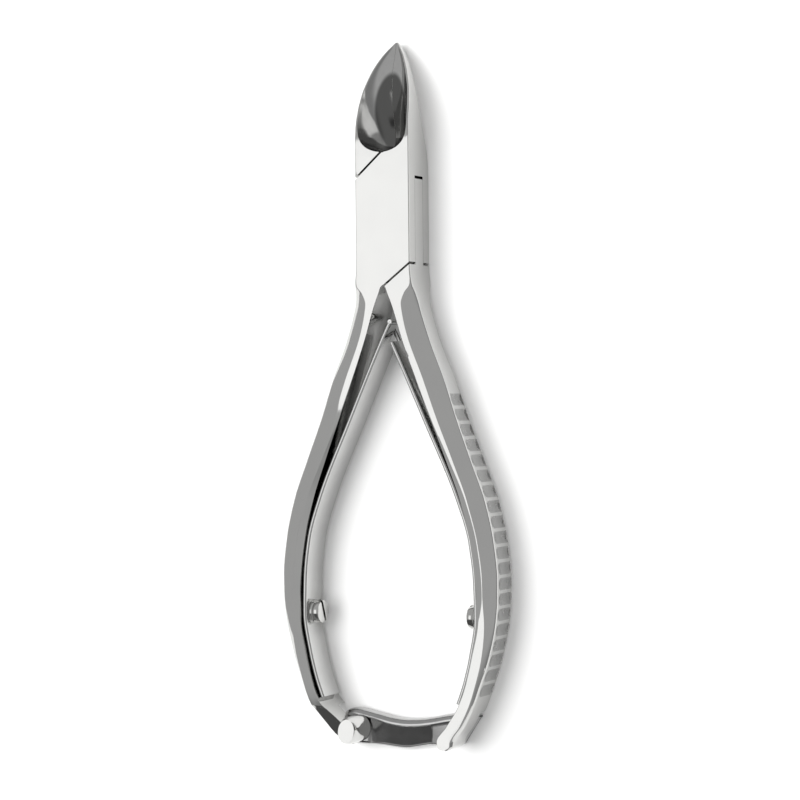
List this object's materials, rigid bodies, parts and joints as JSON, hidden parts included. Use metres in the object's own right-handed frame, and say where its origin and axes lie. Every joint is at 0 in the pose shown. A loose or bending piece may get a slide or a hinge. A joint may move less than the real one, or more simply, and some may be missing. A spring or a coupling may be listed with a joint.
{
  "type": "nail nipper",
  "caption": "Box-joint nail and cuticle nipper with hollow concave jaws, double leaf spring, grooved handles and a swinging end lock.",
  "frame": {"origin": "pivot axis where it meets the back face of the box joint", "axes": "+Y from the pivot to the jaw tips, +Z out of the front face, +X to the right seen from the front; the tool lies on its back on z = 0"},
  "size_m": [0.047, 0.1392, 0.0088],
  "materials": {
    "polished_stainless": "mirror polished forged stainless steel",
    "spring_steel": "smooth polished strip",
    "turned_steel": "turned and polished"
  },
  "bodies": {
    "box_half": {"box_half": "polished_stainless", "pivot_pin": "polished_stainless", "left_spring_screw": "turned_steel", "lock_pin": "turned_steel"},
    "tongue_half": {"tongue_half": "polished_stainless", "right_spring_screw": "turned_steel", "catch_stud": "turned_steel"},
    "left_leaf": {"left_leaf_spring": "spring_steel"},
    "right_leaf": {"right_leaf_spring": "spring_steel"},
    "lock": {"lock_lever": "spring_steel"}
  },
  "joints": [
    {"name": "jaw_pivot", "type": "hinge", "parent": "box_half", "child": "tongue_half", "pos_m": [0, 0, 0.0044], "axis": [0, 0, 1], "range_deg": [0, 18], "deforming": ["left_leaf_spring", "right_leaf_spring"]},
    {"name": "lock_swing", "type": "hinge", "parent": "box_half", "child": "lock", "pos_m": [-0.0103, -0.0997, 0.00155], "axis": [0, 0, 1], "range_deg": [-110, 0]},
    {"name": "left_leaf_flex", "type": "hinge", "parent": "box_half", "child": "left_leaf", "pos_m": [-0.01885, -0.0745, 0.0044], "axis": [0, 0, 1], "range_deg": [-4, 0]},
    {"name": "right_leaf_flex", "type": "hinge", "parent": "tongue_half", "child": "right_leaf", "pos_m": [0.01885, -0.0745, 0.0044], "axis": [0, 0, 1], "range_deg": [0, 4]}
  ],
  "couplings": [
    {"joint": "left_leaf_flex", "follows": "jaw_pivot", "ratio": -0.2},
    {"joint": "right_leaf_flex", "follows": "jaw_pivot", "ratio": 0.2}
  ]
}
